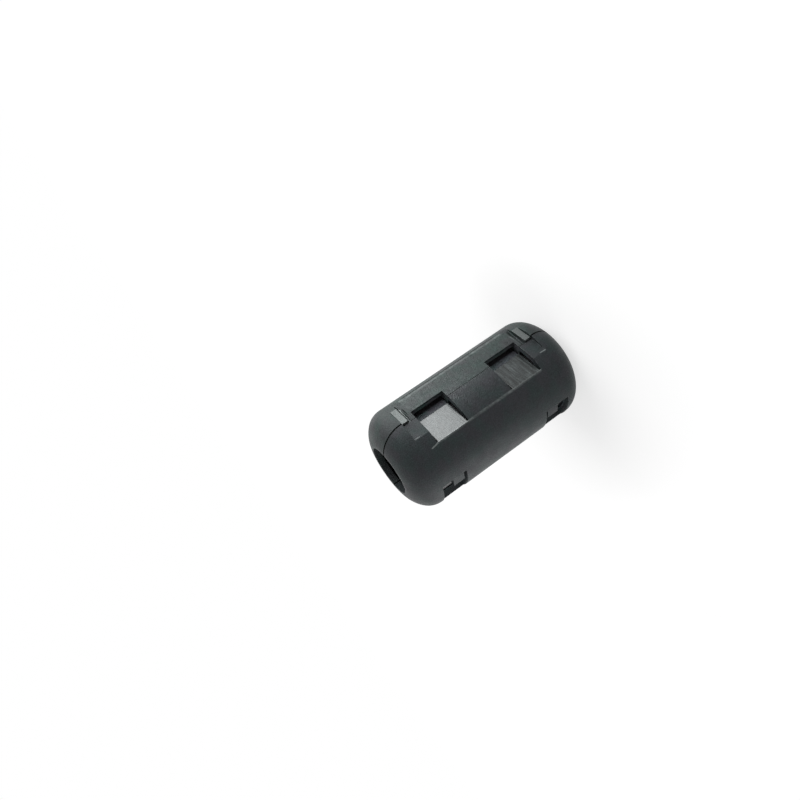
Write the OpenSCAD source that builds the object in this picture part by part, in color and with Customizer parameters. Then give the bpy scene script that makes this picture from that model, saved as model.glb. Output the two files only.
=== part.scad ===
// Clip-on ferrite bead, closed, standing on its end: two moulded case halves on one hinge,
// each with a sintered ferrite half core. Millimetres, +Z up along the cable axis.
// The latch side faces -Y, the hinge side +Y, and the parting plane is X = 0.
// Places along the bead are distances from mid-length, the same toward both ends.

/* [Case] */
// Outer diameter of the closed case
case_d = 19.6; // [19:0.1:21]
// Length over both ends
case_l = 38; // [37.4:0.1:42]
// Wall thickness of the mouldings
wall = 1.3; // [1.2:0.05:1.4]
// Diameter of the cable hole in each end wall
hole_d = 9.5; // [9.2:0.1:9.9]
// Radius of the end shoulder where it leaves the round body
shoulder_r1 = 3.95; // [3.6:0.05:4.2]
// Radius of the end shoulder where it reaches the end face
shoulder_r2 = 6.34; // [6:0.05:6.8]
// Depth taken off each domed end for the flat ring the bead stands on
land_trim = 0.1; // [0.08:0.01:0.16]

/* [Parting line] */
// Gap between the halves along the latch flat
seam_gap = 0.08; // [0.06:0.01:0.12]
// Gap between the halves at the two ends
end_seam_gap = 0.22; // [0.16:0.02:0.3]

/* [Latch side] */
// Depth of the crowned latch flat below the round body, on the parting line
flat_drop = 0.77; // [0.7:0.01:0.85]
// Width of the latch flat, which runs out on the round body at both sides
flat_w = 11.7; // [11.2:0.1:12]
// Wall thickness under the middle of the latch flat
flat_wall = 1.08; // [1:0.02:1.2]
// Half length of the latch flat on half A
flat_reach = 12.35; // [12.2:0.05:12.5]
// Distance from mid-length to the inner edge of each window
window_in = 4.7; // [4.5:0.1:4.9]
// Length of each window along the bead
window_l = 6.75; // [6.4:0.05:6.8]
// How far each window runs into half A past the parting plane
window_up = 1.56; // [1.4:0.02:1.8]
// Depth of the ramp below the latch flat, at the tip of the tongue
ramp_drop = 1.53; // [1.45:0.01:1.58]
// Gap on each side of a latch tongue
tongue_gap = 0.3; // [0.2:0.01:0.35]
// Thickness of a latch tongue at its tip
tongue_t = 0.8; // [0.7:0.05:0.85]
// Distance that the tip of a latch tongue stays short of the parting plane
tongue_short = 0.2; // [0.1:0.05:0.3]
// Width of the foot that joins a latch tongue to the round wall
tongue_foot = 0.2; // [0.15:0.05:0.4]
// How far the hook block under a tongue passes the parting plane
hook_reach = 1.2; // [0.8:0.1:1.3]
// Thickness of the hook block
hook_t = 0.5; // [0.4:0.05:0.6]
// Thickness of the ribs that part the pockets on the latch edge
rib_t = 0.6; // [0.5:0.05:0.8]
// Distance that the ribs reach in from the parting plane
rib_reach = 5; // [4:0.1:5]

/* [Tabs] */
// Length of the tab on half A, up from the parting plane
tab_l = 3.7; // [3.3:0.1:4]
// Width of the tab along the bead
tab_w = 1.2; // [1:0.05:1.25]
// Depth of the tab's flat face below the round body, at the parting plane
tab_drop = 0.35; // [0.3:0.05:0.5]
// Width of the slot between the latch flat and the tab
slot_w = 0.6; // [0.55:0.01:0.65]
// Depth of the slot below the latch flat
slot_depth = 0.8; // [0.75:0.05:0.9]
// Length of the slot up from the parting plane
slot_l = 4.8; // [4.4:0.1:5]
// Width of the ledge along the latch flat in that slot
ledge_w = 0.22; // [0.18:0.01:0.26]
// Depth of the ledge below the latch flat
ledge_depth = 0.6; // [0.5:0.05:0.7]
// Width of the gap along the outer side of the tab
tab_gap = 0.12; // [0.1:0.01:0.15]

/* [Hinge side] */
// Depth of the hinge axis inside the round body
hinge_inset = 1.65; // [1.6:0.05:1.7]
// Radius of the hinge eyes and lugs
barrel_r = 1.15; // [1.1:0.01:1.15]
// Width of the block that joins an eye or a lug to its wall
hinge_block = 3.4; // [3:0.1:3.6]
// Radius of the moulded hinge pin
pin_r = 0.6; // [0.5:0.05:0.65]
// Running clearance of the pin in its eye, on the radius
pin_play = 0.05; // [0.03:0.01:0.08]
// Depth that the pin is rooted in each lug
pin_root = 0.5; // [0.4:0.1:0.8]
// Distance from mid-length to the inner end of each hinge eye
eye_in = 9.6; // [9.5:0.1:9.8]
// Length of each hinge eye
eye_l = 2.3; // [2.1:0.1:2.3]
// Length of each hinge lug beside an eye
lug_l = 1.1; // [0.9:0.1:1.2]
// Play between an eye and the lugs beside it
end_play = 0.1; // [0.06:0.01:0.14]
// Angle that half B opens to, where the bevelled edges meet
open_angle = 110; // [90:5:115]
// Angle left between the bevelled edges at that stop
stop_play = 1; // [0.5:0.5:2]

/* [Side openings] */
// Distance from mid-length to the inner edge of each side opening
opening_in = 9.1; // [8.9:0.1:9.3]
// Length of each side opening along the bead
opening_l = 5.2; // [4.8:0.1:5.2]
// Angle of the opening toward the latch, from the side of half B
opening_up = 8; // [6:1:10]
// Angle of the opening toward the hinge
opening_down = 38; // [34:1:44]
// Angle that the tab hanging in the opening spans
hang_span = 14; // [12:1:17]
// Distance from mid-length to the inner edge of the hanging tab
hang_in = 9.6; // [9.5:0.1:9.8]
// Width of the hanging tab
hang_w = 2.3; // [2:0.1:2.5]
// Depth of the hanging tab below the round body
hang_drop = 0.25; // [0.15:0.05:0.4]

/* [Ferrite core] */
// Diameter of the cable bore in the ferrite
bore_d = 9; // [8.6:0.1:9.1]
// Length of the ferrite half cores
core_l = 29; // [28.6:0.1:29]
// Clearance between core and case wall
core_play = 0.3; // [0.2:0.05:0.4]
// Clearance between core and latch tongues
core_clear = 0.15; // [0.1:0.01:0.2]
// Air gap left between the two half cores
core_gap = 0.04; // [0.02:0.01:0.06]
// Chamfer on the outer ends of the core
core_chamfer = 0.7; // [0.5:0.05:0.9]
// Chamfer at the mouths of the bore
bore_chamfer = 0.3; // [0.2:0.05:0.4]

/* [Cable claws] */
// Thickness of the claw plate at each end
claw_t = 1; // [0.8:0.1:1.2]
// Gap between a claw plate and the end of the core
claw_play = 0.1; // [0.05:0.01:0.2]
// Distance that the claw tips stay outside the cable hole
claw_tip_out = 0.15; // [0.1:0.05:0.3]
// Length of the claws
claw_l = 1.5; // [1.2:0.1:1.6]
// Claws in the full circle
claw_n = 14; // [12:2:18]

/* [Hidden] */
$fn = 96;
case_r = case_d / 2;
mid = case_l / 2;
far = 2 * case_d + case_l;
c1_r = case_r - shoulder_r1;
c1_z = shoulder_r2 - (shoulder_r2 - shoulder_r1) * sin(45) - land_trim;
c2_r = c1_r - (shoulder_r2 - shoulder_r1) * cos(45);
c2_z = shoulder_r2 - land_trim;
flat_h = case_r - flat_drop;
flat_half = flat_w / 2;
edge_h = sqrt(case_r * case_r - flat_half * flat_half);
crown_rise = flat_h - edge_h;
crown_r = (flat_half * flat_half + crown_rise * crown_rise) / (2 * crown_rise);
under_flat = flat_h - flat_wall;
wall_root = under_flat + flat_wall / 3;
window_out = window_in + window_l;
ramp_h = flat_h - ramp_drop;
tongue_under = ramp_h - tongue_t;
tab_in = flat_reach + slot_w;
tab_out = tab_in + tab_w;
tab_end_h = sqrt(case_r * case_r - tab_l * tab_l);
land_out = tab_out + tab_gap;
hinge_y = case_r - hinge_inset;
hinge_top = hinge_y + barrel_r;
hinge_under = hinge_y - barrel_r;
eye_out = eye_in + eye_l;
lug_in = eye_in - end_play - lug_l;
lug_out = eye_out + end_play + lug_l;
bevel = (180 - open_angle - stop_play) / 2;
core_flat = min(tongue_under, hinge_under) - core_clear;
core_r = case_r - wall - core_play;
core_end = mid - core_l / 2;
claw_tip_r = hole_d / 2 + claw_tip_out;
half_a_rgb = [0.27, 0.29, 0.285];
half_b_rgb = [0.21, 0.215, 0.22];
core_rgb = [0.2, 0.2, 0.21];

// Lower half of the body's section, inset by t
module half_section(t) {
    polygon([
        [0, t - land_trim], [c2_r, t - land_trim],
        [c1_r + (shoulder_r1 - t) * cos(45), c1_z - (shoulder_r1 - t) * sin(45)],
        [case_r - t, c1_z], [case_r - t, mid], [0, mid]
    ]);
    translate([c1_r, c1_z]) circle(r = shoulder_r1 - t);
    intersection() {
        translate([c2_r, c2_z]) circle(r = shoulder_r2 - t);
        polygon([[c2_r, c2_z], [c2_r, c2_z - far], [c2_r + far, c2_z - far]]);
    }
}

// The whole body, inset by t
module body(t) {
    rotate_extrude() intersection() {
        translate([0, t]) square([case_r - t, case_l - 2 * t]);
        union() {
            half_section(t);
            translate([0, case_l]) mirror([0, 1]) half_section(t);
        }
    }
}

// Everything on one side of the parting plane: side 1 is half A, side -1 is half B
module side_space(side, gap) {
    x0 = side > 0 ? gap / 2 : -far - gap / 2;
    translate([x0, -far, -far]) cube([far, 2 * far, 3 * far]);
}

// Its children at both ends, measured from mid-length
module both_ends() {
    translate([0, 0, mid]) children();
    translate([0, 0, mid]) mirror([0, 0, 1]) children();
}

// A box between two opposite corners
module block(low, high) {
    translate(low) cube(high - low);
}

// A cylinder on the hinge axis, from z0 to z1
module hinge_cyl(r, z0, z1) {
    translate([0, hinge_y, z0]) cylinder(r = r, h = z1 - z0);
}

// The round that the latch flat follows
module crown() {
    translate([0, crown_r - flat_h, -far]) cylinder(r = crown_r, h = 3 * far);
}

// Bevels along the hinge line, which meet when half B is open
module hinge_bevel() {
    rise = far * tan(bevel);
    translate([0, hinge_y, -far]) linear_extrude(3 * far)
        polygon([[0, 0], [far, rise], [-far, rise]]);
}

// Hollow body with its cable hole, thicker latch side and flat hinge strip
module hollow() {
    difference() {
        body(0);
        difference() {
            body(wall);
            block([-case_r, -case_r, mid - land_out], [case_r, -under_flat, mid + land_out]);
        }
        translate([0, 0, -far]) cylinder(d = hole_d, h = 3 * far);
        block([-far, hinge_top, -far], [far, far, far]);
    }
}

// Claws round the cable, between one end wall and the core
module claw_plate() {
    step = 180 / claw_n;
    intersection() {
        translate([0, 0, core_end - claw_play - claw_t]) linear_extrude(claw_t) difference() {
            circle(r = case_r);
            polygon([for (i = [0 : 2 * claw_n - 1])
                let (r = claw_tip_r + (i % 2 == 0 ? claw_l : 0), a = (i + 0.5) * step)
                [r * cos(a), r * sin(a)]]);
        }
        body(wall / 2);
        block([-far, -wall_root, -far], [far, far, far]);
    }
}

module claws() {
    claw_plate();
    translate([0, 0, case_l]) mirror([0, 0, 1]) claw_plate();
}

// A block that carries an eye or lug, on the side given by its sign
module hinge_root(side, z0, z1) {
    x = side * hinge_block;
    block([min(x, 0), hinge_under, z0], [max(x, 0), hinge_top, z1]);
}

module eyes(r) {
    both_ends() hinge_cyl(r, eye_in, eye_out);
}

module lugs(r) {
    both_ends() {
        hinge_cyl(r, lug_in, lug_in + lug_l);
        hinge_cyl(r, lug_out - lug_l, lug_out);
    }
}

// Everything above the crowned latch flat, up to a distance from mid-length
module above_crown(reach) {
    difference() {
        block([-far, -far, mid - reach], [far, -edge_h / 2, mid + reach]);
        crown();
    }
}

// Outer form of half A's wall: latch flat, windows, slots and tabs
module wall_a() {
    difference() {
        hollow();
        above_crown(tab_in);
        both_ends() {
            block([-far, -far, window_in], [window_up, -flat_half, window_out]);
            block([-far, -far, flat_reach], [slot_l, ledge_depth - flat_h, tab_in]);
            block([-far, -far, flat_reach + ledge_w], [slot_l, slot_depth - flat_h, tab_in]);
            block([-far, -far, tab_out], [far, -flat_h, land_out]);
            // flat face of the tab, flush with the round body at its end
            translate([0, 0, tab_in]) linear_extrude(land_out - tab_in) polygon([
                [0, tab_drop - case_r], [tab_l, -tab_end_h], [tab_l, -far], [0, -far]
            ]);
        }
    }
}

// Ribs that part the three pockets along the latch edge of half A
module pocket_ribs() {
    y1 = -core_flat - core_clear;
    both_ends() {
        block([0, -wall_root, window_in - rib_t], [rib_reach, y1, window_in]);
        block([0, -wall_root, window_out], [rib_reach, y1, window_out + rib_t]);
    }
}

module case_half_a() {
    color(half_a_rgb) difference() {
        union() {
            intersection() {
                union() {
                    wall_a();
                    pocket_ribs();
                    claws();
                }
                side_space(1, seam_gap);
            }
            eyes(barrel_r);
            both_ends() hinge_root(1, eye_in, eye_out);
        }
        // wider seam past the latch flat
        both_ends() block([-far, -far, flat_reach], [end_seam_gap / 2, hole_d / 2, far]);
        // bore for the pins, and room for the lugs of half B
        both_ends() hinge_cyl(pin_r + pin_play, lug_in, lug_out);
        both_ends() hinge_cyl(barrel_r + end_play, lug_in - end_play, eye_in);
        both_ends() hinge_cyl(barrel_r + end_play, eye_out, lug_out + end_play);
        difference() {
            hinge_bevel();
            eyes(barrel_r);
        }
    }
}

// Everything above the latch side of half B: the crown as far as the windows, then a flat land
module above_flat_b() {
    above_crown(window_out);
    block([-far, -far, mid - land_out], [far, -flat_h, mid + land_out]);
}

// One side opening of half B, as a sector of the wall
module side_opening() {
    in = case_r / 2;
    top = [-cos(opening_up), -sin(opening_up)];
    low = [-cos(opening_down), sin(opening_down)];
    translate([0, 0, opening_in]) linear_extrude(opening_l)
        polygon([in * top, far * top, far * low, in * low]);
}

// Tab hanging from the latch-side edge of a side opening
module hanging_tab() {
    root = opening_up + 3;
    tip = hang_span - opening_up;
    translate([0, 0, hang_in]) intersection() {
        difference() {
            cylinder(r = case_r - hang_drop, h = hang_w);
            translate([0, 0, -hang_w]) cylinder(r = case_r - wall, h = 3 * hang_w);
        }
        linear_extrude(hang_w) polygon([
            [0, 0], far * [-cos(root), -sin(root)], far * [-cos(tip), sin(tip)]
        ]);
    }
}

// Outer form of half B's wall, without the tongues
module wall_b() {
    difference() {
        intersection() {
            union() {
                difference() {
                    hollow();
                    above_flat_b();
                    both_ends() side_opening();
                }
                both_ends() hanging_tab();
                claws();
            }
            side_space(-1, seam_gap);
        }
        both_ends() block([tongue_foot - flat_half, -far, window_in],
            [far, -core_flat, window_out]);
    }
}

// Latch tongues with the hook block under their tips, before the ramp is cut
module tongues() {
    z0 = window_in + tongue_gap;
    z1 = window_out - tongue_gap;
    intersection() {
        both_ends() {
            block([-flat_half - tongue_t, -flat_h, z0], [-tongue_short, -tongue_under, z1]);
            block([-tongue_t, -tongue_under - hook_t, z0], [hook_reach, -tongue_under, z1]);
        }
        body(0);
    }
}

// Everything above the ramps, which run from the flat's edge down to the tips of the tongues
module ramp_cut() {
    slope = (edge_h - ramp_h) / (flat_half - tongue_short);
    both_ends() translate([0, 0, window_in]) linear_extrude(window_l) polygon([
        [-flat_half - far, -edge_h - slope * far], [far - flat_half, -edge_h + slope * far],
        [far, -2 * far], [-far, -2 * far]
    ]);
}

module case_half_b() {
    color(half_b_rgb) {
        difference() {
            union() {
                wall_b();
                tongues();
                lugs(barrel_r);
                both_ends() {
                    hinge_root(-1, lug_in, lug_in + lug_l);
                    hinge_root(-1, lug_out - lug_l, lug_out);
                }
            }
            ramp_cut();
            both_ends() block([-end_seam_gap / 2, -far, flat_reach], [far, hole_d / 2, far]);
            both_ends() hinge_cyl(barrel_r + end_play, eye_in - end_play, eye_out + end_play);
            difference() {
                hinge_bevel();
                lugs(barrel_r);
            }
        }
        both_ends() hinge_cyl(pin_r, lug_in + lug_l - pin_root, lug_out - lug_l + pin_root);
    }
}

// One ferrite half core, on one side of the parting plane
module core_half(side) {
    bore_r = bore_d / 2;
    color(core_rgb) intersection() {
        rotate_extrude() translate([0, core_end]) polygon([
            [bore_r + bore_chamfer, 0], [core_r - core_chamfer, 0], [core_r, core_chamfer],
            [core_r, core_l - core_chamfer], [core_r - core_chamfer, core_l],
            [bore_r + bore_chamfer, core_l], [bore_r, core_l - bore_chamfer],
            [bore_r, bore_chamfer]
        ]);
        block([-far, -core_flat, -far], [far, core_flat, far]);
        side_space(side, core_gap);
    }
}

module core_half_a() core_half(1);
module core_half_b() core_half(-1);

case_half_a();
case_half_b();
core_half_a();
core_half_b();
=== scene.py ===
"""Clip-on ferrite bead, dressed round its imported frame.

The bead stands on its end at the origin, +Z up along the cable axis, the latch toward -Y, the hinge
toward +Y and the parting plane at X = 0. Lengths are in metres.
"""
import math

import bmesh
import bpy
import numpy as np
from mathutils import Matrix, Vector


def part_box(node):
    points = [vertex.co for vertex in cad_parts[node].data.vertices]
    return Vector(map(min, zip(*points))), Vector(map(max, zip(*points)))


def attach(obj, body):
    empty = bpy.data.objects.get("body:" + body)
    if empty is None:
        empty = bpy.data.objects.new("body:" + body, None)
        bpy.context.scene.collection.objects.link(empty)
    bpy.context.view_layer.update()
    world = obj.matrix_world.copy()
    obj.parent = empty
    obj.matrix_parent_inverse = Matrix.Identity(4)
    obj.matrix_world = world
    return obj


bl_info = {
    "name": "Clip-on ferrite bead",
    "version": (1, 0, 0),
    "blender": (4, 5, 0),
    "location": "View3D > Sidebar > Ferrite bead",
    "description": "Dresses a clip-on ferrite bead and sets its stage",
    "category": "Object",
}

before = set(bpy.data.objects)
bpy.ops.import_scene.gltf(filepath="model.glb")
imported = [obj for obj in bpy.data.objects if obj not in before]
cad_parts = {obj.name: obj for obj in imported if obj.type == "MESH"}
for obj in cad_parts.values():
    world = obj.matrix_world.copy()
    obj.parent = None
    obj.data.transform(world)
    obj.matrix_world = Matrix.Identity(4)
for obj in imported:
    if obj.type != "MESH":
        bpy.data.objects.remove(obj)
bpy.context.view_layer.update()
MM = 0.001
# rays by which the eye sees the floor and the room, as against those that light the bead
SEEN_RAYS = ("Is Camera Ray", "Is Glossy Ray", "Is Transmission Ray")
# width of the camera's sensor in millimetres, and the nearest and farthest that it sees
SENSOR_WIDTH = 36.0
CAMERA_RANGE = (1 * MM, 50.0)


def box_of(*nodes):
    """Lowest and highest corner of several nodes at rest, as numpy arrays."""
    corners = [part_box(n) for n in nodes]
    low = np.min([np.array(c[0]) for c in corners], axis=0)
    high = np.max([np.array(c[1]) for c in corners], axis=0)
    return low, high


LOW, HIGH = box_of("case_half_a", "case_half_b")
MID_Z = (LOW[2] + HIGH[2]) / 2
BODY_R = (HIGH[0] - LOW[0]) / 2


# ---------------------------------------------------------------- sizes and colours

class CaseProps(bpy.types.PropertyGroup):
    """Finish of the two moulded case halves."""
    # Painted light and shade: both halves are one nylon, but half A, which faces the key, gets a
    # paler copy and half B a darker one
    lit_tint_a: bpy.props.FloatVectorProperty(
        name="Nylon of half A", description="Base colour of half A", subtype="COLOR", size=3,
        default=(0.022, 0.026, 0.025), min=0.0, max=1.0)
    shaded_tint_b: bpy.props.FloatVectorProperty(
        name="Nylon of half B", description="Base colour of half B", subtype="COLOR", size=3,
        default=(0.016, 0.018, 0.019), min=0.0, max=1.0)
    cool_tint: bpy.props.FloatVectorProperty(
        name="Green bloom", description="Colour of the greenish bloom in the skin", subtype="COLOR",
        size=3, default=(0.82, 1.09, 1.05), min=0.0, max=2.0)
    warm_tint: bpy.props.FloatVectorProperty(
        name="Purple bloom", description="Colour of the purplish bloom in the skin",
        subtype="COLOR", size=3, default=(1.12, 0.96, 1.10), min=0.0, max=2.0)
    # Painted sheen: the tabs are the same nylon, given this much paler base to stand in for the
    # reflection off their polish
    tab_sheen_tint: bpy.props.FloatVectorProperty(
        name="Tab colour", description="Base colour of the polished tabs", subtype="COLOR",
        size=3, default=(0.095, 0.104, 0.103), min=0.0, max=1.0)
    ramp_tint: bpy.props.FloatVectorProperty(
        name="Ramp colour", description="Base colour of the polished latch ramps",
        subtype="COLOR", size=3, default=(0.015, 0.018, 0.018), min=0.0, max=1.0)
    # Painted highlight: paler colour laid on edges, creases and strokes where light catches them
    highlight_tint: bpy.props.FloatVectorProperty(
        name="Wear colour", description="Colour of rubbed edges", subtype="COLOR", size=3,
        default=(0.30, 0.33, 0.325), min=0.0, max=1.0)
    coat: bpy.props.FloatProperty(
        name="Coat", description="Amount of polish on the ramps", default=0.48, min=0.0, max=1.0)
    tab_coat: bpy.props.FloatProperty(
        name="Tab coat", description="Amount of polish on the tabs", default=0.2, min=0.0,
        max=1.0)
    gleam_a: bpy.props.FloatVectorProperty(
        name="Gleam of half A", description="Tint of the reflection off half A",
        subtype="COLOR", size=3, default=(0.84, 1.0, 0.97), min=0.0, max=1.0)
    gleam_b: bpy.props.FloatVectorProperty(
        name="Gleam of half B", description="Tint of the reflection off half B",
        subtype="COLOR", size=3, default=(0.90, 0.99, 1.0), min=0.0, max=1.0)
    inside: bpy.props.FloatProperty(
        name="Inside", description="Distance from the cable axis where the inside starts",
        default=8.95 * MM, unit="LENGTH")
    inside_length: bpy.props.FloatProperty(
        name="Inside length", description="Length of the inside between the domed ends",
        default=31 * MM, unit="LENGTH")
    # Painted light: the inside is the same nylon, made paler to stand in for light reaching the
    # hollows
    inside_painted_light: bpy.props.FloatProperty(
        name="Inside tone", description="How much paler the nylon is inside", default=3.2,
        min=0.0, max=6.0)
    # Painted shade: near-black colour laid in the seam over the ends and in grooves and slots
    painted_shade_tint: bpy.props.FloatVectorProperty(
        name="Dirt colour", description="Colour of the dirt in the seam over the ends",
        subtype="COLOR", size=3, default=(0.002, 0.002, 0.002), min=0.0, max=1.0)
    # Painted highlight on sharp edges, found from the bevelled normal
    edge_highlight: bpy.props.FloatProperty(
        name="Edge wear", description="Share of wear colour on sharp edges", default=0.35,
        min=0.0, max=1.0)
    flat_place: bpy.props.FloatVectorProperty(
        name="Latch flat", description="Middle of the latch flat, its height taken from mid-length",
        size=3, default=(0.0, -9.05 * MM, 0.0), unit="LENGTH")
    flat_size: bpy.props.FloatVectorProperty(
        name="Latch flat size", description="Box round the latch flat", size=3,
        default=(11.7 * MM, 2.3 * MM, 22.9 * MM), unit="LENGTH")
    # Box of painted shade over the seam at each end
    seam_place: bpy.props.FloatVectorProperty(
        name="Seam", description="Middle of the seam over an end, its height taken from mid-length",
        size=3, default=(0.0, 0.0, 17.0 * MM), unit="LENGTH")
    seam_size: bpy.props.FloatVectorProperty(
        name="Seam size", description="Box round the dirty seam over an end", size=3,
        default=(0.33 * MM, 24 * MM, 5.4 * MM), unit="LENGTH")
    roughness: bpy.props.FloatProperty(
        name="Roughness", description="Roughness of the grained body", default=0.50, min=0.0,
        max=1.0)
    flat_roughness: bpy.props.FloatProperty(
        name="Flat roughness", description="Roughness of the latch flat", default=0.33, min=0.0,
        max=1.0)
    polish: bpy.props.FloatProperty(
        name="Polish", description="Roughness of the polished tabs and ramps", default=0.16,
        min=0.0, max=1.0)
    gloss: bpy.props.FloatProperty(
        name="Gloss", description="Strength of the reflection off the skin", default=0.28,
        min=0.0, max=1.0)
    grain: bpy.props.FloatProperty(
        name="Grain", description="Size of the moulded grain", default=0.22 * MM, unit="LENGTH")
    speckle: bpy.props.FloatProperty(
        name="Speckle", description="Size of the duller and shinier spots on the latch flat",
        default=0.7 * MM, unit="LENGTH")
    relief: bpy.props.FloatProperty(
        name="Relief", description="Height of the moulded grain", default=0.045 * MM,
        unit="LENGTH")
    flat_relief: bpy.props.FloatProperty(
        name="Flat relief", description="How much deeper the grain is on the latch flat",
        default=1.25, min=0.0)
    drag: bpy.props.FloatProperty(
        name="Drag marks", description="Size of the drag marks on the latch ramps",
        default=0.32 * MM, unit="LENGTH")
    bloom: bpy.props.FloatProperty(
        name="Bloom", description="Size of the patches of bloom", default=2.6 * MM, unit="LENGTH")
    # Patches break up the painted highlights
    patches: bpy.props.FloatProperty(
        name="Patches", description="Size of the patches that wear leaves", default=0.9 * MM,
        unit="LENGTH")
    edge_radius: bpy.props.FloatProperty(
        name="Edge radius", description="Radius that light sees on the moulded edges",
        default=0.14 * MM, unit="LENGTH")
    tab_place: bpy.props.FloatVectorProperty(
        name="Tab", description="Middle of a tab, its height taken from mid-length", size=3,
        default=(1.85 * MM, -9.45 * MM, 13.55 * MM), unit="LENGTH")
    tab_size: bpy.props.FloatVectorProperty(
        name="Tab size", description="Polished face of a tab", size=3,
        default=(3.8 * MM, 0.9 * MM, 1.2 * MM), unit="LENGTH")
    ramp_place: bpy.props.FloatVectorProperty(
        name="Ramp", description="Middle of a latch ramp, its height taken from mid-length",
        size=3, default=(-3.0 * MM, -7.68 * MM, 8.07 * MM), unit="LENGTH")
    ramp_size: bpy.props.FloatVectorProperty(
        name="Ramp size", description="Polished face of a latch ramp", size=3,
        default=(5.7 * MM, 0.62 * MM, 6.4 * MM), unit="LENGTH")


class CoreProps(bpy.types.PropertyGroup):
    """Finish of the two ferrite half cores."""
    tint: bpy.props.FloatVectorProperty(
        name="Ferrite colour", description="Base colour of the sintered ferrite", subtype="COLOR",
        size=3, default=(0.040, 0.038, 0.041), min=0.0, max=1.0)
    roughness: bpy.props.FloatProperty(
        name="Roughness", description="Roughness of the ground ferrite", default=0.38, min=0.0,
        max=1.0)
    pores: bpy.props.FloatProperty(
        name="Pores", description="Size of the pores in the ferrite", default=0.22 * MM,
        unit="LENGTH")
    relief: bpy.props.FloatProperty(
        name="Relief", description="Depth of the pores", default=0.03 * MM, unit="LENGTH")
    cloud: bpy.props.FloatProperty(
        name="Cloud", description="Size of the paler and darker patches", default=1.6 * MM,
        unit="LENGTH")
    edge_radius: bpy.props.FloatProperty(
        name="Edge radius", description="Radius that light sees on the ground edges",
        default=0.12 * MM, unit="LENGTH")


class LipProps(bpy.types.PropertyGroup):
    """Lips that close the seam from inside, on half A and its core."""
    end_gap: bpy.props.FloatProperty(
        name="End gap", description="Gap between the halves over the two ends",
        default=0.22 * MM, unit="LENGTH")
    back_gap: bpy.props.FloatProperty(
        name="Hinge gap", description="Gap between the halves beside the hinge",
        default=0.08 * MM, unit="LENGTH")
    back_reach: bpy.props.FloatProperty(
        name="Hinge reach", description="Distance from the cable axis where the hinge lips stop",
        default=7.2 * MM, unit="LENGTH")
    play: bpy.props.FloatProperty(
        name="Play", description="Air left between a lip and half B", default=0.004 * MM,
        unit="LENGTH")
    depth: bpy.props.FloatProperty(
        name="Depth", description="Depth of the open seam above the end lip", default=0.22 * MM,
        unit="LENGTH")
    wall: bpy.props.FloatProperty(
        name="Wall", description="Wall thickness of the mouldings", default=1.3 * MM,
        unit="LENGTH")
    flat_out: bpy.props.FloatProperty(
        name="Flat height", description="Distance of the latch flat from the cable axis",
        default=9.03 * MM, unit="LENGTH")
    flat_in: bpy.props.FloatProperty(
        name="Under the flat", description="Distance of the wall's inside under the flat",
        default=7.95 * MM, unit="LENGTH")
    start: bpy.props.FloatProperty(
        name="Start", description="Distance from mid-length where the end lips start",
        default=12.5 * MM, unit="LENGTH")
    shoulder: bpy.props.FloatProperty(
        name="Shoulder", description="Distance from mid-length where the shoulder starts",
        default=14.45 * MM, unit="LENGTH")
    run_in: bpy.props.FloatProperty(
        name="Run in", description="Length over which a lip steps from the flat to the shoulder",
        default=0.15 * MM, unit="LENGTH")
    shoulder_near: bpy.props.FloatProperty(
        name="Shoulder radius", description="Radius of the shoulder beside the round body",
        default=3.95 * MM, unit="LENGTH")
    shoulder_far: bpy.props.FloatProperty(
        name="End radius", description="Radius of the shoulder beside the end face",
        default=6.34 * MM, unit="LENGTH")
    hole: bpy.props.FloatProperty(
        name="Hole", description="Distance from the cable axis where the end lips stop",
        default=4.9 * MM, unit="LENGTH")
    bore: bpy.props.FloatProperty(
        name="Bore", description="Radius of the bore in the ferrite", default=4.5 * MM,
        unit="LENGTH")


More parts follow.
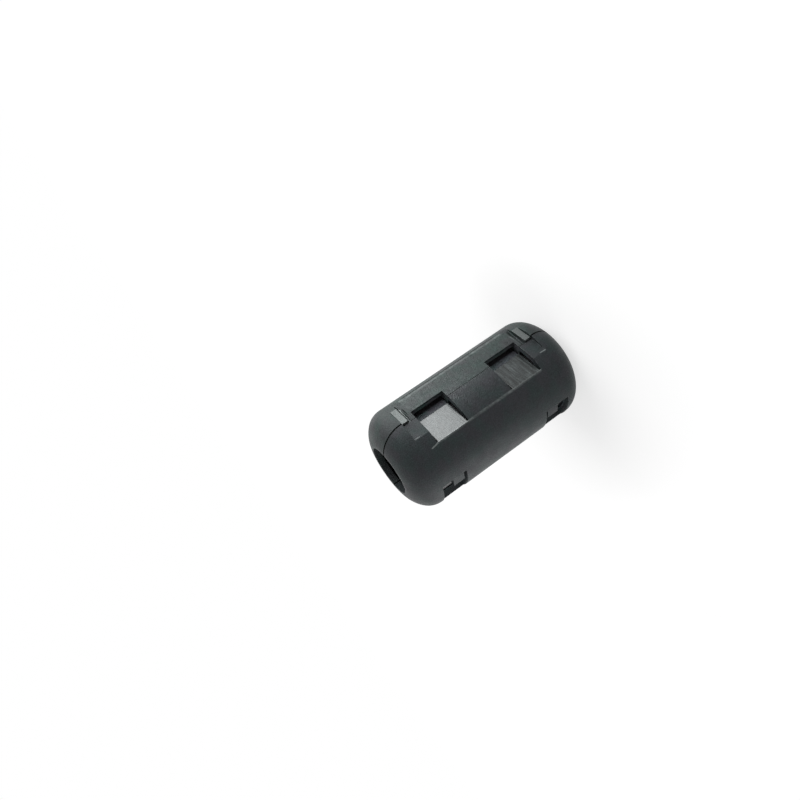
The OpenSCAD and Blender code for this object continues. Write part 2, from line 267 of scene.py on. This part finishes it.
class StageProps(bpy.types.PropertyGroup):
    """Camera and lamps."""
    azimuth: bpy.props.FloatProperty(
        name="Azimuth", description="Side the camera stands on, from -Y toward -X", subtype="ANGLE",
        default=math.radians(34.01))
    elevation: bpy.props.FloatProperty(
        name="Elevation", description="Height of the camera above the horizon", subtype="ANGLE",
        default=math.radians(14.87))
    roll: bpy.props.FloatProperty(
        name="Roll", description="Turn of the camera about its view", subtype="ANGLE",
        default=math.radians(-124.56))
    distance: bpy.props.FloatProperty(
        name="Distance", description="Depth from the camera to the middle of the bead",
        default=125.77 * MM, unit="LENGTH")
    aim_right: bpy.props.FloatProperty(
        name="Aim right", description="Place of the bead right of the view axis", default=9.08 * MM,
        unit="LENGTH")
    aim_up: bpy.props.FloatProperty(
        name="Aim up", description="Place of the bead above the view axis", default=1.195 * MM,
        unit="LENGTH")
    lens: bpy.props.FloatProperty(
        name="Lens", description="Focal length on a 36 mm sensor", default=30.88, min=1.0)
    shift_x: bpy.props.FloatProperty(
        name="Shift right", description="Sideways shift of the frame", default=-0.0294)
    shift_y: bpy.props.FloatProperty(
        name="Shift up", description="Upward shift of the frame", default=0.0231)
    key_side: bpy.props.FloatProperty(
        name="Key side", description="Side the softbox stands on, from -Y toward +X",
        subtype="ANGLE", default=math.radians(47))
    key_distance: bpy.props.FloatProperty(
        name="Key distance", description="Distance from the bead to the softbox",
        default=90 * MM, unit="LENGTH")
    key_width: bpy.props.FloatProperty(
        name="Key width", description="Width of the softbox", default=130 * MM, unit="LENGTH")
    key_height: bpy.props.FloatProperty(
        name="Key height", description="Height of the softbox, which stands on the floor",
        default=100 * MM, unit="LENGTH")
    key_level: bpy.props.FloatProperty(
        name="Key level", description="Brightness of the softbox, where 1 is white", default=2.8)
    card_place: bpy.props.FloatVectorProperty(
        name="Card", description="Middle of the small bright card before the latch", size=3,
        default=(34 * MM, -52 * MM, 10.5 * MM), unit="LENGTH")
    card_size: bpy.props.FloatProperty(
        name="Card size", description="Side of the bright card", default=20 * MM, unit="LENGTH")
    card_level: bpy.props.FloatProperty(
        name="Card level", description="Brightness of the card, where 1 is white", default=5.2)
    side_angle: bpy.props.FloatProperty(
        name="Side light", description="Side the side softbox stands on, from -Y toward -X",
        subtype="ANGLE", default=math.radians(124))
    side_distance: bpy.props.FloatProperty(
        name="Side light distance", description="Distance from the bead to the side softbox",
        default=60 * MM, unit="LENGTH")
    side_width: bpy.props.FloatProperty(
        name="Side light width", description="Width of the side softbox", default=44 * MM,
        unit="LENGTH")
    side_height: bpy.props.FloatProperty(
        name="Side light height", description="Height of the side softbox, on the floor",
        default=80 * MM, unit="LENGTH")
    side_level: bpy.props.FloatProperty(
        name="Side light level", description="Brightness of the side softbox, where 1 is white",
        default=1.65)
    fill_level: bpy.props.FloatProperty(
        name="Fill level", description="Brightness of the room, where 1 is white", default=0.3)
    floor_reach: bpy.props.FloatProperty(
        name="Floor reach", description="Distance from the bead to the edges of the floor",
        default=4.0, unit="LENGTH")
    floor_tone: bpy.props.FloatProperty(
        name="Floor tone", description="Tone of the floor that throws light on the bead",
        default=0.8, min=0.0, max=1.0)
    floor_matt: bpy.props.FloatProperty(
        name="Floor matt", description="Tone of the seen floor that keeps the shadow",
        default=0.4, min=0.0, max=1.0)
    floor_near: bpy.props.FloatProperty(
        name="Glow start", description="Distance from the bead where the floor's glow is least",
        default=15 * MM, unit="LENGTH")
    floor_near_glow: bpy.props.FloatProperty(
        name="Least glow", description="Glow of the floor near the bead, where 1 is white",
        default=0.66)
    floor_far: bpy.props.FloatProperty(
        name="Glow end", description="Distance from the bead where the floor's glow is full",
        default=70 * MM, unit="LENGTH")
    floor_far_glow: bpy.props.FloatProperty(
        name="Full glow", description="Glow of the floor far from the bead, where 1 is white",
        default=0.9)


# middle, size and amount of the painted highlight along the crease beside each half's face, in
# millimetres, with heights from mid-length
CREASE_HIGHLIGHT_A = ((5.3, -8.08, 0), (0.5, 0.8, 22.9), 0.30)
CREASE_HIGHLIGHT_B = ((-5.85, -7.86, 0), (0.34, 0.5, 22.9), 0.40)
# ends, width and amount of each painted highlight stroke on an edge, in millimetres, with heights
# from the foot
HIGHLIGHTS_A = (
    ((0.2, -8.43, 31.46), (3.6, -8.43, 31.46), 0.22, 1.0),
    ((0.4, -8.95, 7.05), (3.9, -8.7, 7.05), 0.12, 0.30),
)
HIGHLIGHTS_B = (
    ((-5.9, -7.82, 30.4), (-6.08, -7.69, 31.7), 0.16, 0.9),
    ((-3.63, -9.03, 32.3), (-3.55, -9.03, 33.2), 0.13, 0.40),
    ((-3.68, -9.03, 4.7), (-3.58, -9.03, 5.8), 0.14, 0.55),
    ((-0.4, -8.98, 7.5), (-3.6, -8.9, 7.5), 0.09, 0.30),
)
# the same for the lines of painted shade along a crease edge and in the slots beside the tabs
SHADE_LINES_A = (
    ((5.75, -7.93, 9.0), (5.75, -7.93, 29.5), 0.16, 0.8),
    ((0.1, -8.9, 31.12), (4.0, -8.75, 31.12), 0.20, 0.9),
    ((0.1, -8.23, 31.74), (4.7, -8.23, 31.74), 0.20, 1.0),
    ((0.1, -8.9, 6.48), (4.7, -8.6, 6.48), 0.55, 1.0),
)

# patterns: the detail of the noise, the span of it that counts and what that span becomes
BLOOM = (3.0, (0.38, 0.62), (0.0, 1.0))
BODY_CLOUD = (4.0, (0.3, 0.7), (0.78, 1.24))
DULL_CLOUD = (3.0, (0.3, 0.7), (-0.05, 0.06))
SPECKLE = (2.0, (0.32, 0.68), (-0.15, 0.19))
HIGHLIGHT_PATCHES = (4.0, (0.38, 0.66), (0.0, 1.0))
FERRITE_CLOUD = (4.0, (0.3, 0.7), (0.8, 1.25))
# the same for the grain and the drag marks, which also make relief
GRAIN_DETAIL, GRAIN_SPAN, GRAIN_TONE = 3.0, (0.30, 0.70), (0.62, 1.45)
DRAG_DETAIL, DRAG_SPAN, DRAG_TONE = 4.0, (0.35, 0.68), (0.3, 2.8)
DRAG_STRETCH = (0.10, 0.35, 1.0)
# how much duller than the polish the drag marks are, over which span, and their share of relief
DRAG_DULL, DRAG_DULL_SPAN, DRAG_RELIEF = 0.12, (0.3, 0.7), 0.8
# sizes of the clouds of tone and of dullness, as shares of the bloom's size
BODY_CLOUD_SIZE, DULL_CLOUD_SIZE = 0.35, 0.7
# share of the speckle that the polished faces take
POLISHED_SPECKLE = 0.4
# cosine of the angle between a face and its rounded edge where the painted edge highlight starts,
# and where it is full
EDGE_TURN = (0.99, 0.78)
# share of the painted highlight that stays between its patches, in a crease and in a stroke
CREASE_STAYS, STROKE_STAYS = 0.3, 0.5
# share of a stroke's width, and of the inside's radius, within which each counts in full
STROKE_CORE, INSIDE_CORE = 0.4, 0.95
# half the soft border of a masked box, and of a crease
BOX_SOFT, CREASE_SOFT = 0.05 * MM, 0.10 * MM
# rays that round an edge, on the nylon and on the ferrite
NYLON_EDGE_RAYS, FERRITE_EDGE_RAYS = 6, 4
# distances from a pore's middle, its tones there, and how strongly it dents the ferrite
PORE_SPAN, PORE_TONE, PORE_STRENGTH = (0.10, 0.30), (0.35, 1.0), 0.4
# what the darkest and the palest cloud add to the ferrite's roughness
FERRITE_DULL = (0.1, -0.06)


# ---------------------------------------------------------------- materials

class Nodes:
    """Small helper that wires the nodes of one material or world."""

    def __init__(self, owner):
        owner.use_nodes = True
        self.owner = owner
        self.tree = owner.node_tree

    def add(self, kind, inputs=(), **settings):
        """A node of that kind, its settings set and its inputs set or linked."""
        node = self.tree.nodes.new("ShaderNode" + kind)
        for key, value in settings.items():
            setattr(node, key, value)
        for key, value in dict(inputs).items():
            self.feed(node, key, value)
        return node

    def feed(self, node, key, value):
        """Sets an input of a node, or links it when the value is an output socket."""
        if isinstance(value, bpy.types.NodeSocket):
            self.tree.links.new(value, node.inputs[key])
        else:
            node.inputs[key].default_value = value


def folded(n):
    """Object coordinates with the height measured from mid-length, so both ends read alike."""
    place = n.add("TexCoord").outputs["Object"]
    parts = n.add("SeparateXYZ", {0: place})
    height = n.add("Math", {0: parts.outputs[2], 1: MID_Z}, operation="SUBTRACT")
    height = n.add("Math", {0: height.outputs[0]}, operation="ABSOLUTE")
    both = n.add("CombineXYZ", {0: parts.outputs[0], 1: parts.outputs[1], 2: height.outputs[0]})
    return place, both.outputs[0]


def times(n, first, second):
    """Product of two numbers."""
    return n.add("Math", {0: first, 1: second}, operation="MULTIPLY").outputs[0]


def plus(n, first, second):
    """Sum of two numbers."""
    return n.add("Math", {0: first, 1: second}, operation="ADD").outputs[0]


def largest(n, first, second):
    """Larger of two numbers."""
    return n.add("Math", {0: first, 1: second}, operation="MAXIMUM").outputs[0]


def box_mask(n, place, middle, size, soft=BOX_SOFT):
    """1 inside a box and 0 outside: the largest of |p - middle| - size / 2, ramped over soft."""
    away = n.add("VectorMath", {0: place, 1: middle}, operation="SUBTRACT")
    away = n.add("VectorMath", {0: away.outputs[0]}, operation="ABSOLUTE")
    away = n.add("VectorMath", {0: away.outputs[0], 1: [v / 2 for v in size]},
                 operation="SUBTRACT")
    parts = n.add("SeparateXYZ", {0: away.outputs[0]})
    most = largest(n, largest(n, parts.outputs[0], parts.outputs[1]), parts.outputs[2])
    return ranged(n, most, soft, -soft)


def stretched(n, place, stretch):
    """Place scaled by a different factor along each axis."""
    return n.add("VectorMath", {0: place, 1: stretch}, operation="MULTIPLY").outputs[0]


def noise(n, place, size, detail):
    """Noise with features of about that size, from 0 to 1."""
    return n.add("TexNoise", {"Vector": place, "Scale": 1 / size, "Detail": detail}).outputs["Fac"]


def ranged(n, value, low, high, to_low=0.0, to_high=1.0):
    """Value mapped from low and high to to_low and to_high, and held there."""
    return n.add("MapRange", {"Value": value, "From Min": low, "From Max": high,
                              "To Min": to_low, "To Max": to_high}).outputs[0]


def patterned(n, place, size, pattern):
    """Noise of that size, the span that counts mapped to what it becomes."""
    detail, span, becomes = pattern
    return ranged(n, noise(n, place, size, detail), *span, *becomes)


def mixed(n, factor, first, second):
    """Colour between first and second."""
    return n.add("Mix", {0: factor, 6: first, 7: second}, data_type="RGBA").outputs[2]


def between(n, factor, first, second):
    """Number between first and second."""
    return n.add("Mix", {0: factor, 2: first, 3: second}, data_type="FLOAT").outputs[0]


def scaled(n, colour, by):
    """Colour times a number."""
    return n.add("VectorMath", {0: colour, "Scale": by}, operation="SCALE").outputs[0]


def scaled_colour(n, colour, by):
    """Colour times another colour."""
    return n.add("Mix", {0: 1.0, 6: colour, 7: by}, data_type="RGBA",
                 blend_type="MULTIPLY").outputs[2]


def stroke_mask(n, place, start, end, width):
    """1 on a stroke from start to end and 0 off it: with t the share of the way along the stroke
    that is nearest to p, held between 0 and 1, the distance |p - start - t (end - start)|."""
    start, end = Vector(start) * MM, Vector(end) * MM
    along = end - start
    off = n.add("VectorMath", {0: place, 1: start}, operation="SUBTRACT").outputs[0]
    share = n.add("VectorMath", {0: off, 1: along / along.length_squared},
                  operation="DOT_PRODUCT").outputs["Value"]
    share = ranged(n, share, 0.0, 1.0)
    reach = scaled(n, along, share)
    gap = n.add("VectorMath", {0: off, 1: reach}, operation="DISTANCE").outputs["Value"]
    return ranged(n, gap, width * MM, STROKE_CORE * width * MM)


def highlit(n, place, both, patchy, crease, strokes):
    """Painted highlights, standing in for light caught on edges and creases, from 0 to 1: the
    crease beside the face and the strokes, both patchy."""
    middle, size, amount = crease
    mask = box_mask(n, both, Vector(middle) * MM, Vector(size) * MM, CREASE_SOFT)
    glint = times(n, mask, ranged(n, patchy, 0, 1, CREASE_STAYS * amount, amount))
    for start, end, width, amount in strokes:
        mask = stroke_mask(n, place, start, end, width)
        patches = ranged(n, patchy, 0, 1, STROKE_STAYS * amount, amount)
        glint = largest(n, glint, times(n, mask, patches))
    return glint


def nylon(name, props, tint, gleam, crease, strokes, lines):
    """Moulded nylon: satin skin with fine grain and slow bloom, painted highlights on edges and
    creases, painted shade in the seam and grooves, painted light inside, and polished latch faces,
    the tabs with a painted sheen."""
    n = Nodes(bpy.data.materials.new(name))
    shader = n.tree.nodes["Principled BSDF"]
    place, both = folded(n)
    tab = box_mask(n, both, props.tab_place, props.tab_size)
    ramp = box_mask(n, both, props.ramp_place, props.ramp_size)
    flat = box_mask(n, both, props.flat_place, props.flat_size)
    # painted shade: the seam over the ends and the listed lines along grooves and slots
    painted_shade = box_mask(n, both, props.seam_place, props.seam_size)
    for start, end, width, amount in lines:
        line = stroke_mask(n, place, start, end, width)
        painted_shade = largest(n, painted_shade, times(n, line, amount))
    polished = largest(n, tab, ramp)

    # patches of greenish and purplish bloom, and the fine grain of the mould
    patches = patterned(n, place, props.bloom, BLOOM)
    bloom = mixed(n, patches, (*props.cool_tint, 1), (*props.warm_tint, 1))
    skin = scaled_colour(n, (*tint, 1), bloom)
    grain = noise(n, place, props.grain, GRAIN_DETAIL)
    cloud = times(n, patterned(n, place, BODY_CLOUD_SIZE * props.bloom, BODY_CLOUD),
                  ranged(n, grain, *GRAIN_SPAN, *GRAIN_TONE))
    # painted light: the inside of the moulding is made paler, between the domed ends, in a box
    # wider than the bead
    away = n.add("VectorMath", {0: stretched(n, place, (1, 1, 0))}, operation="LENGTH")
    wide = 3 * BODY_R
    inside = times(n, ranged(n, away.outputs["Value"], props.inside, INSIDE_CORE * props.inside),
                   box_mask(n, both, (0, 0, 0), (wide, wide, props.inside_length)))
    tone = times(n, cloud, ranged(n, inside, 0.0, 1.0, 1.0, props.inside_painted_light))
    skin = scaled(n, skin, tone)

    # the ramps carry drag marks along the slope, which runs along X
    drag = noise(n, stretched(n, place, DRAG_STRETCH), props.drag, DRAG_DETAIL)
    marks = ranged(n, drag, *DRAG_SPAN, *DRAG_TONE)
    slope = scaled(n, (*props.ramp_tint,), times(n, marks, cloud))
    # the tabs take the pale painted sheen colour, the ramps the darker drag-marked tint
    base = mixed(n, polished, skin, mixed(n, ramp, (*props.tab_sheen_tint, 1), slope))

    # painted highlights make edges, creases and strokes paler, and painted shade darkens the seam,
    # grooves and slots
    soft = n.add("Bevel", {"Radius": props.edge_radius}, samples=NYLON_EDGE_RAYS)
    turn = n.add("VectorMath", {0: soft.outputs[0], 1: n.add("NewGeometry").outputs["Normal"]},
                 operation="DOT_PRODUCT").outputs["Value"]
    patchy = patterned(n, place, props.patches, HIGHLIGHT_PATCHES)
    glint = highlit(n, place, both, patchy, crease, strokes)
    # painted highlight where the rounded edge's normal turns away from the face
    edge = times(n, ranged(n, turn, *EDGE_TURN, 0.0, props.edge_highlight), patchy)
    base = mixed(n, largest(n, edge, glint), base, (*props.highlight_tint, 1))
    # painted shade darkens the seam and grooves to near black
    base = mixed(n, painted_shade, base, (*props.painted_shade_tint, 1))
    n.feed(shader, "Base Color", base)

    # the flat is glossier and speckled, the painted shade is dull, and the polished faces are sleek
    dull = between(n, flat, props.roughness, props.flat_roughness)
    dull = plus(n, dull, patterned(n, place, DULL_CLOUD_SIZE * props.bloom, DULL_CLOUD))
    speckle = patterned(n, place, props.speckle, SPECKLE)
    dull = largest(n, plus(n, dull, times(n, speckle, flat)), painted_shade)
    sleek = ranged(n, drag, *DRAG_DULL_SPAN, props.polish, props.polish + DRAG_DULL)
    sleek = plus(n, sleek, times(n, speckle, POLISHED_SPECKLE))
    n.feed(shader, "Roughness", between(n, polished, dull, sleek))
    n.feed(shader, "Specular IOR Level", props.gloss)
    n.feed(shader, "Specular Tint", (*gleam, 1))
    n.feed(shader, "Coat Weight", times(n, polished, between(n, ramp, props.tab_coat, props.coat)))
    n.feed(shader, "Coat Roughness", props.polish)

    deep = times(n, grain, ranged(n, flat, 0.0, 1.0, 1.0, props.flat_relief))
    relief = between(n, polished, deep, times(n, drag, DRAG_RELIEF))
    bump = n.add("Bump", {"Strength": 1.0, "Distance": props.relief, "Height": relief,
                          "Normal": soft.outputs[0]})
    n.feed(shader, "Normal", bump.outputs[0])
    return n.owner


def ferrite(name, props):
    """Sintered ferrite: dark ground ceramic with pores and a faint cloud."""
    n = Nodes(bpy.data.materials.new(name))
    shader = n.tree.nodes["Principled BSDF"]
    place = n.add("TexCoord").outputs["Object"]
    pores = n.add("TexVoronoi", {"Vector": place, "Scale": 1 / props.pores}).outputs["Distance"]
    pits = ranged(n, pores, *PORE_SPAN, *PORE_TONE)
    cloud = patterned(n, place, props.cloud, FERRITE_CLOUD)
    n.feed(shader, "Base Color", scaled(n, (*props.tint,), times(n, pits, cloud)))
    cloud_tones = FERRITE_CLOUD[-1]
    n.feed(shader, "Roughness", ranged(n, cloud, *cloud_tones,
                                       *(props.roughness + more for more in FERRITE_DULL)))
    soft = n.add("Bevel", {"Radius": props.edge_radius}, samples=FERRITE_EDGE_RAYS)
    bump = n.add("Bump", {"Strength": PORE_STRENGTH, "Distance": props.relief, "Height": pits,
                          "Normal": soft.outputs[0]})
    n.feed(shader, "Normal", bump.outputs[0])
    return n.owner


def seen_rays(n):
    """1 for the rays by which the eye sees a surface, and 0 for those that carry its light."""
    path = n.add("LightPath")
    seen = path.outputs[SEEN_RAYS[0]]
    for ray in SEEN_RAYS[1:]:
        seen = largest(n, seen, path.outputs[ray])
    return seen


def pale_floor(name, props):
    """Pale floor: a plain matt tone, seen as a glow over a matt tone that keeps the shadow. The
    glow grows with the distance from the bead, as the lamps' own light on the floor fades."""
    n = Nodes(bpy.data.materials.new(name))
    away = n.add("VectorMath", {0: n.add("TexCoord").outputs["Object"]}, operation="LENGTH")
    strength = ranged(n, away.outputs["Value"], props.floor_near, props.floor_far,
                      props.floor_near_glow, props.floor_far_glow)
    plain = n.add("BsdfDiffuse", {"Color": (*[props.floor_tone] * 3, 1)})
    matt = n.add("BsdfDiffuse", {"Color": (*[props.floor_matt] * 3, 1)})
    glow = n.add("Emission", {"Color": (1, 1, 1, 1), "Strength": strength})
    seen = n.add("AddShader", {0: matt.outputs[0], 1: glow.outputs[0]})
    mix = n.add("MixShader", {0: seen_rays(n), 1: plain.outputs[0], 2: seen.outputs[0]})
    n.tree.nodes.remove(n.tree.nodes["Principled BSDF"])
    n.feed(n.tree.nodes["Material Output"], "Surface", mix.outputs[0])
    return n.owner


# ---------------------------------------------------------------- shapes

def strip(outer, inner, x0, x1):
    """Corners and faces of a closed strip between x0 and x1. Ring k holds the four corners
    (x0, outer k), (x1, outer k), (x1, inner k) and (x0, inner k), neighbouring rings are joined
    by four faces, and the first and last ring are closed by one face each."""
    edges = np.stack([outer, outer, inner, inner], axis=1)
    sides = np.broadcast_to([[x0], [x1], [x1], [x0]], edges.shape[:2] + (1,))
    corners = np.concatenate([sides, edges], axis=2).reshape(-1, 3)
    ring = np.arange(4)
    wall = np.stack([ring, np.roll(ring, -1), np.roll(ring, -1) + 4, ring + 4], axis=1)
    starts = 4 * np.arange(len(outer) - 1)
    walls = (starts[:, None, None] + wall).reshape(-1, 4)
    return corners, np.vstack([walls, ring[::-1], starts[-1] + 4 + ring])


def shoulder_curve(props, inset, count=12):
    """Distance from the axis and from mid-length along the shoulder, inset from its skin: count
    points on an arc of the near radius up to 45 degrees, then on one of the far radius down to
    the hole. The two centres lie on one line at 45 degrees."""
    near, far = props.shoulder_near, props.shoulder_far
    across = BODY_R - near
    back = (far - near) * math.sqrt(0.5)
    stop = math.acos((props.hole - across + back) / (far - inset))
    first = np.linspace(0.0, math.pi / 4, count)
    second = np.linspace(math.pi / 4, stop, count)[1:]
    return np.concatenate([
        np.stack([across + (near - inset) * np.cos(first),
                  props.shoulder + (near - inset) * np.sin(first)], axis=1),
        np.stack([across - back + (far - inset) * np.cos(second),
                  props.shoulder - back + (far - inset) * np.sin(second)], axis=1)])


def piece(name, strips, finish, body):
    """New piece from several strips, its faces turned outwards, dressed and riding on a body."""
    starts = np.cumsum([0] + [len(corners) for corners, _ in strips[:-1]])
    mesh = bpy.data.meshes.new(name)
    mesh.from_pydata(np.vstack([corners for corners, _ in strips]), [],
                     np.vstack([faces + start for (_, faces), start in zip(strips, starts)]))
    solid = bmesh.new()
    solid.from_mesh(mesh)
    bmesh.ops.recalc_face_normals(solid, faces=solid.faces)
    solid.to_mesh(mesh)
    solid.free()
    mesh.materials.append(finish)
    obj = bpy.data.objects.new(name, mesh)
    bpy.context.scene.collection.objects.link(obj)
    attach(obj, body)


# ---------------------------------------------------------------- operators

class BEAD_OT_case(bpy.types.Operator):
    """Finish both moulded case halves"""
    bl_idname = "bead.case"
    bl_label = "Case halves"

    def execute(self, context):
        props = context.scene.bead_case
        halves = (("case_half_a", props.lit_tint_a, props.gleam_a, CREASE_HIGHLIGHT_A, HIGHLIGHTS_A, SHADE_LINES_A),
                  ("case_half_b", props.shaded_tint_b, props.gleam_b, CREASE_HIGHLIGHT_B, HIGHLIGHTS_B, ()))
        for node, tint, gleam, crease, strokes, lines in halves:
            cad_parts[node].data.materials[0] = nylon(f"nylon_{node[-1]}", props, tint,
                                                           gleam, crease, strokes, lines)
        return {"FINISHED"}


class BEAD_OT_core(bpy.types.Operator):
    """Finish both ferrite half cores"""
    bl_idname = "bead.core"
    bl_label = "Ferrite half cores"

    def execute(self, context):
        finish = ferrite("ferrite", context.scene.bead_core)
        for name in ("core_half_a", "core_half_b"):
            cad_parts[name].data.materials[0] = finish
        return {"FINISHED"}


class BEAD_OT_lips(bpy.types.Operator):
    """Lips inside the seam, so that no light shows through the closed bead"""
    bl_idname = "bead.lips"
    bl_label = "Seam lips"

    def execute(self, context):
        props = context.scene.bead_lips
        skin = shoulder_curve(props, props.depth)
        inside = shoulder_curve(props, props.wall)
        straight = np.array([props.start, props.shoulder - props.run_in])
        flat = [np.stack([np.full(2, out), straight], axis=1)
                for out in (props.flat_out - props.depth, props.flat_in)]
        near_hinge = skin[:, 0] < props.back_reach
        front = (np.vstack([flat[0], skin]), np.vstack([flat[1], inside]), props.end_gap, -1)
        back = (skin[near_hinge], inside[near_hinge], props.back_gap, 1)
        ends = [strip(outer * (side, end) + (0, MID_Z), inner * (side, end) + (0, MID_Z),
                      props.play - gap / 2, gap / 2)
                for end in (1, -1) for outer, inner, gap, side in (front, back)]
        piece("end_lips", ends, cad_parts["case_half_a"].data.materials[0],
              "half_a")

        low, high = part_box("core_half_a")
        length = np.array([low.z, high.z])
        faces = [strip(np.stack([np.full(2, side * low.y), length], axis=1),
                       np.stack([np.full(2, -side * props.bore), length], axis=1),
                       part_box("core_half_b")[1].x + props.play, low.x) for side in (1, -1)]
        piece("core_lips", faces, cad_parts["core_half_a"].data.materials[0],
              "half_a")
        return {"FINISHED"}


def standing(angle, distance, height):
    """Middle of a softbox that stands on the floor, its angle from -Y toward +X."""
    return Vector((math.sin(angle) * distance, -math.cos(angle) * distance, height / 2))


def area_lamp(name, place, aim, width, height, level):
    """Softbox at a place, facing a point. Its power is level times pi times its area, so that it
    looks white at level 1."""
    data = bpy.data.lights.new(name, "AREA")
    data.shape = "RECTANGLE"
    data.size = width
    data.size_y = height
    data.energy = level * math.pi * width * height
    lamp = bpy.data.objects.new(name, data)
    lamp.location = place
    lamp.rotation_euler = (Vector(aim) - Vector(place)).to_track_quat("-Z", "Y").to_euler()
    bpy.context.scene.collection.objects.link(lamp)


def lay_floor(props):
    """Square floor round the foot of the bead."""
    s = props.floor_reach
    mesh = bpy.data.meshes.new("floor")
    mesh.from_pydata([(-s, -s, 0), (s, -s, 0), (s, s, 0), (-s, s, 0)], [], [(0, 1, 2, 3)])
    mesh.materials.append(pale_floor("floor", props))
    floor = bpy.data.objects.new("floor", mesh)
    bpy.context.scene.collection.objects.link(floor)


def place_camera(props, middle):
    """Camera whose axes come from azimuth, elevation and roll, with the bead off its middle."""
    back = Vector((-math.sin(props.azimuth) * math.cos(props.elevation),
                   -math.cos(props.azimuth) * math.cos(props.elevation),
                   math.sin(props.elevation)))
    level = Vector((0, 0, 1)).cross(back).normalized()
    rise = back.cross(level)
    right = level * math.cos(props.roll) + rise * math.sin(props.roll)
    up = back.cross(right)
    place = middle - right * props.aim_right - up * props.aim_up + back * props.distance
    data = bpy.data.cameras.new("camera")
    data.sensor_width = SENSOR_WIDTH
    data.lens = props.lens
    data.shift_x = props.shift_x
    data.shift_y = props.shift_y
    data.clip_start, data.clip_end = CAMERA_RANGE
    camera = bpy.data.objects.new("camera", data)
    camera.matrix_world = Matrix((
        (right.x, up.x, back.x, place.x),
        (right.y, up.y, back.y, place.y),
        (right.z, up.z, back.z, place.z),
        (0, 0, 0, 1)))
    bpy.context.scene.collection.objects.link(camera)
    bpy.context.scene.camera = camera


def hang_lamps(props, middle):
    """Key and side softboxes on the floor, and the card before the latch."""
    key = standing(props.key_side, props.key_distance, props.key_height)
    area_lamp("key", key, Vector((0, 0, key.z)), props.key_width, props.key_height,
              props.key_level)
    side = standing(-props.side_angle, props.side_distance, props.side_height)
    area_lamp("side", side, Vector((0, 0, side.z)), props.side_width, props.side_height,
              props.side_level)
    area_lamp("card", props.card_place, middle, props.card_size, props.card_size,
              props.card_level)


def paint_room(props):
    """Room that is white to the eye and lights the bead at the fill level."""
    n = Nodes(bpy.data.worlds.new("studio"))
    room = n.tree.nodes["Background"]
    n.feed(room, "Color", (1, 1, 1, 1))
    n.feed(room, "Strength", ranged(n, seen_rays(n), 0.0, 1.0, props.fill_level, 1.0))
    bpy.context.scene.world = n.owner


class BEAD_OT_stage(bpy.types.Operator):
    """Floor, light and camera"""
    bl_idname = "bead.stage"
    bl_label = "Stage"

    def execute(self, context):
        props = context.scene.bead_stage
        middle = Vector((0, 0, MID_Z))
        lay_floor(props)
        place_camera(props, middle)
        hang_lamps(props, middle)
        paint_room(props)
        context.scene.view_settings.view_transform = "Standard"
        return {"FINISHED"}


class BEAD_PT_panel(bpy.types.Panel):
    """Lists the pieces of the bead"""
    bl_idname = "BEAD_PT_panel"
    bl_label = "Ferrite bead"
    bl_space_type = "VIEW_3D"
    bl_region_type = "UI"
    bl_category = "Ferrite bead"

    def draw(self, context):
        for name in STEPS:
            self.layout.operator(f"bead.{name}")


STEPS = ("case", "core", "lips", "stage")
GROUPS = {"bead_case": CaseProps, "bead_core": CoreProps, "bead_lips": LipProps,
          "bead_stage": StageProps}
CLASSES = (CaseProps, CoreProps, LipProps, StageProps, BEAD_OT_case, BEAD_OT_core,
           BEAD_OT_lips, BEAD_OT_stage, BEAD_PT_panel)


def register():
    for cls in CLASSES:
        bpy.utils.register_class(cls)
    for name, cls in GROUPS.items():
        setattr(bpy.types.Scene, name, bpy.props.PointerProperty(type=cls))


def unregister():
    for name in GROUPS:
        delattr(bpy.types.Scene, name)
    for cls in reversed(CLASSES):
        bpy.utils.unregister_class(cls)


def main():
    register()
    for name in STEPS:
        getattr(bpy.ops.bead, name)()


if __name__ == "__main__":
    main()
